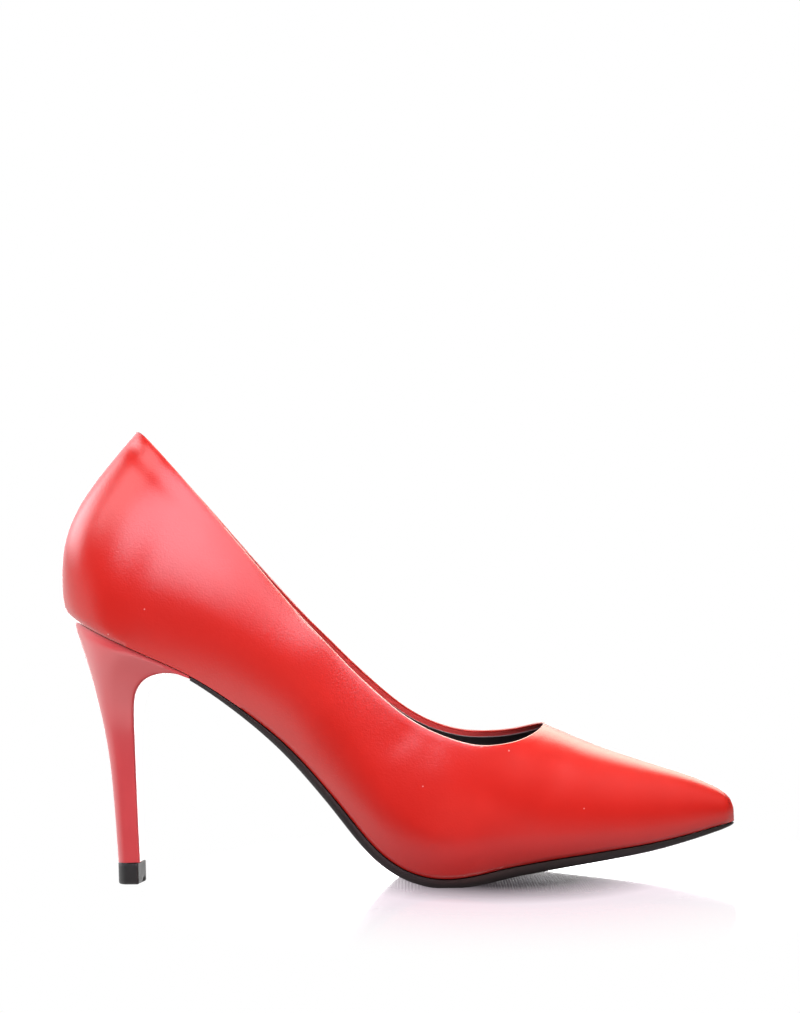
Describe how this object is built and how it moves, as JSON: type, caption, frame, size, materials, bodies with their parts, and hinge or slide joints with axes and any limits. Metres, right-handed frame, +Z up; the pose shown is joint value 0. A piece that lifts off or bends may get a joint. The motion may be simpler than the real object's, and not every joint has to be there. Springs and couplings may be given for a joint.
{
  "type": "stiletto pump",
  "caption": "Red pointed-toe court pump for the right foot, smooth upper with black lining, slim covered stiletto heel and thin dark sole.",
  "frame": {"origin": "on the floor, under the middle of the shoe's box", "axes": "+X to the toe, +Y to the inner side of the right foot, +Z up"},
  "size_m": [0.234, 0.076, 0.158],
  "materials": {
    "upper": "smooth red leather with a soft sheen",
    "insole": "matt black sock lining",
    "outsole": "matt charcoal with fine ribs under the forefoot",
    "heel": "smooth red cover with a soft sheen",
    "heel_tip": "matt charcoal rubber"
  },
  "bodies": {
    "root": {"upper": "upper", "insole": "insole", "outsole": "outsole", "heel": "heel", "heel_tip": "heel_tip"}
  },
  "joints": []
}
